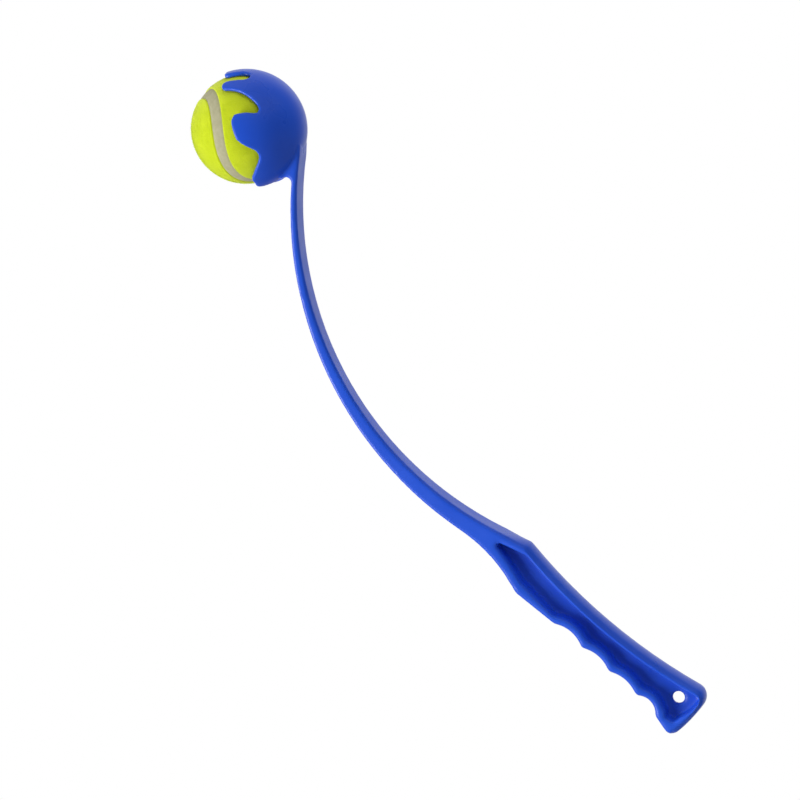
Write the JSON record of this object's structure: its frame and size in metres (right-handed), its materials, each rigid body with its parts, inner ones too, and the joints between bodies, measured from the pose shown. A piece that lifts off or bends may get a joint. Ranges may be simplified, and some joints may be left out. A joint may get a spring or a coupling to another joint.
{
  "type": "tennis ball launcher",
  "caption": "Curved plastic wand with a finger-grip handle and a fingered cup that picks up, holds and throws a felt tennis ball for a dog.",
  "frame": {"origin": "centre of the hang hole at the handle's end, on the moulding's mid-plane", "axes": "+Z from the hang hole to the ball's centre, as the wand is held upright; +X to the inside of the arm's bow, away from the cup's mouth; Y across the thickness"},
  "size_m": [0.0911, 0.0724, 0.4721],
  "materials": {
    "wand_plastic": "moulded blue polypropylene with a soft sheen",
    "core_rubber": "plain moulded rubber, hidden under the felt",
    "felt": "napped yellow-green felt",
    "seam_rubber": "matte grey-beige seam cement"
  },
  "bodies": {
    "wand": {"wand": "wand_plastic"},
    "ball": {"core_half_front": "core_rubber", "core_half_back": "core_rubber", "felt_panel_upper": "felt", "felt_panel_lower": "felt", "ball_seam": "seam_rubber"}
  },
  "joints": [
    {"name": "ball_release", "type": "slide", "parent": "wand", "child": "ball", "axis": [-0.9409, 0, 0.3387], "range_m": [0, 0.08]}
  ]
}
